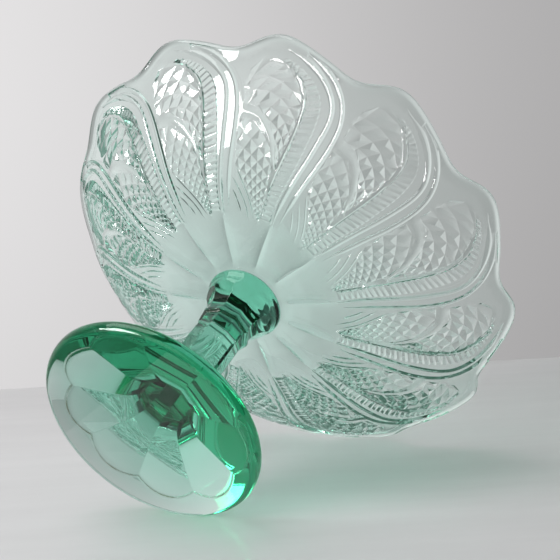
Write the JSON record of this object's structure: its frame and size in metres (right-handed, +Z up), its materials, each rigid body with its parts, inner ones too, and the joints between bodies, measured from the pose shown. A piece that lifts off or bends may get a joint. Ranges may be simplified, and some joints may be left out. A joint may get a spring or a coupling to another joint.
{
  "type": "footed glass candy dish",
  "caption": "Shallow scalloped pressed-glass bowl with a swirled petal relief, on a faceted knop, stem and round panelled foot.",
  "frame": {"origin": "centre of the foot's flat underside, on the dish's axis", "axes": "+Z up the dish's axis, towards the bowl; +X and +Y in the plane that the foot stands on"},
  "size_m": [0.2304, 0.2304, 0.1364],
  "materials": {
    "foot_glass": "fire-polished pressed glass, pale green, polished flat underside",
    "stem_glass": "fire-polished pressed glass, pale green",
    "knop_glass": "fire-polished pressed glass, pale green",
    "bowl_glass": "fire-polished pressed glass, pale green, relief pattern on the underside"
  },
  "bodies": {
    "root": {"foot": "foot_glass", "stem": "stem_glass", "knop": "knop_glass", "bowl": "bowl_glass"}
  },
  "joints": []
}
